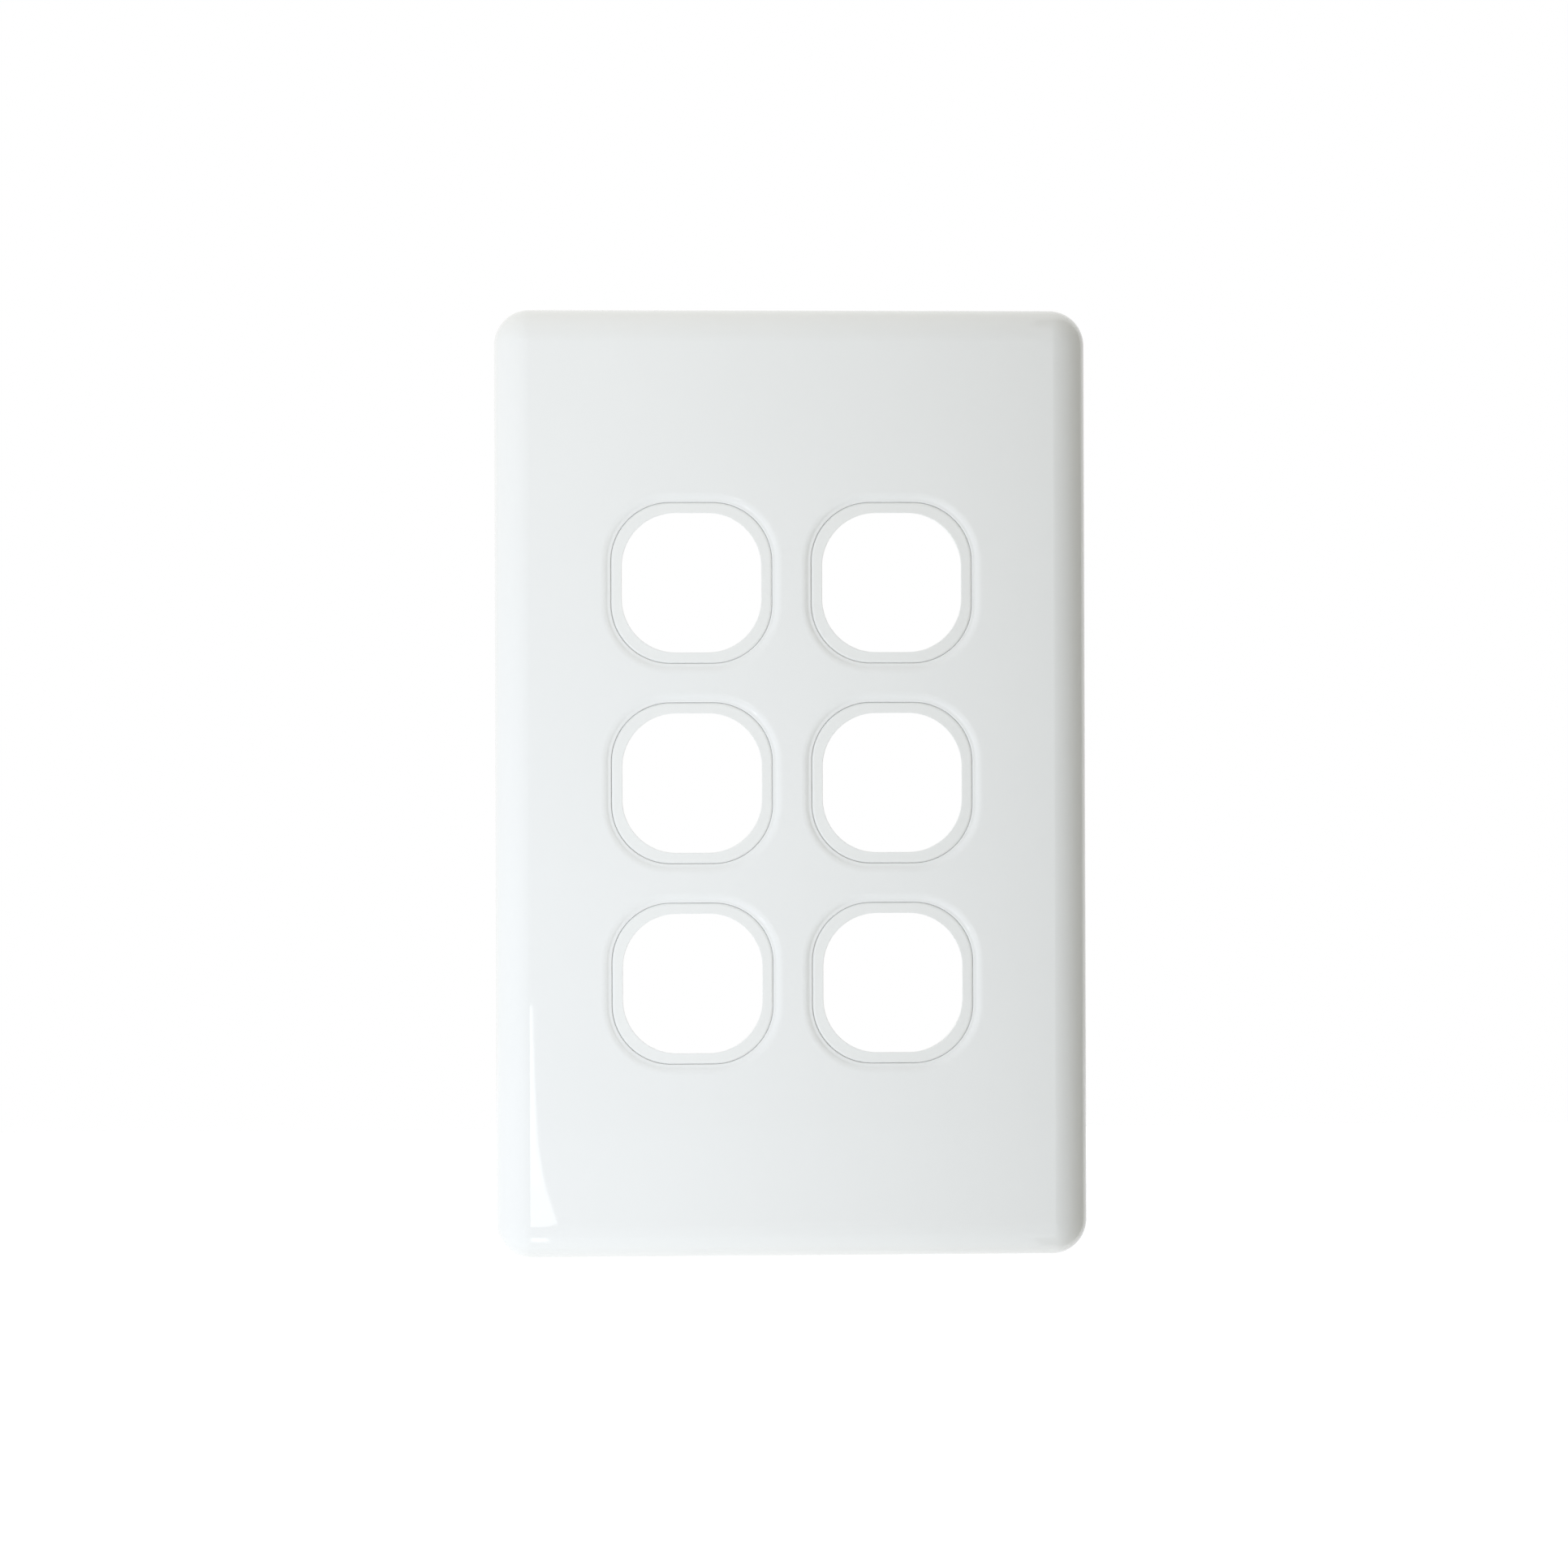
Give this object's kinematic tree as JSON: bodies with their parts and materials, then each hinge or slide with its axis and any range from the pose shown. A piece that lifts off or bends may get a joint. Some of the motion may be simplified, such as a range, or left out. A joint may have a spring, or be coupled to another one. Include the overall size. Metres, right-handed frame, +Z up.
{
  "type": "switch plate",
  "caption": "White rolled-edge wall switch plate with rounded-square switch openings: a push-on cover over a screw-fixed grid plate.",
  "frame": {"origin": "centre of the plate on the wall's surface, midway between the two screw holes", "axes": "+X to the right seen from the front, +Y into the wall, +Z up the plate's length; the front faces -Y"},
  "size_m": [0.0724, 0.009, 0.116],
  "materials": {
    "cover_plastic": "polished white moulding",
    "grid_plastic": "satin white moulding"
  },
  "bodies": {
    "grid": {"grid_plate": "grid_plastic"},
    "cover": {"cover": "cover_plastic"}
  },
  "joints": [
    {"name": "cover_pull", "type": "slide", "parent": "grid", "child": "cover", "axis": [0, -1, 0], "range_m": [0, 0.03]}
  ]
}
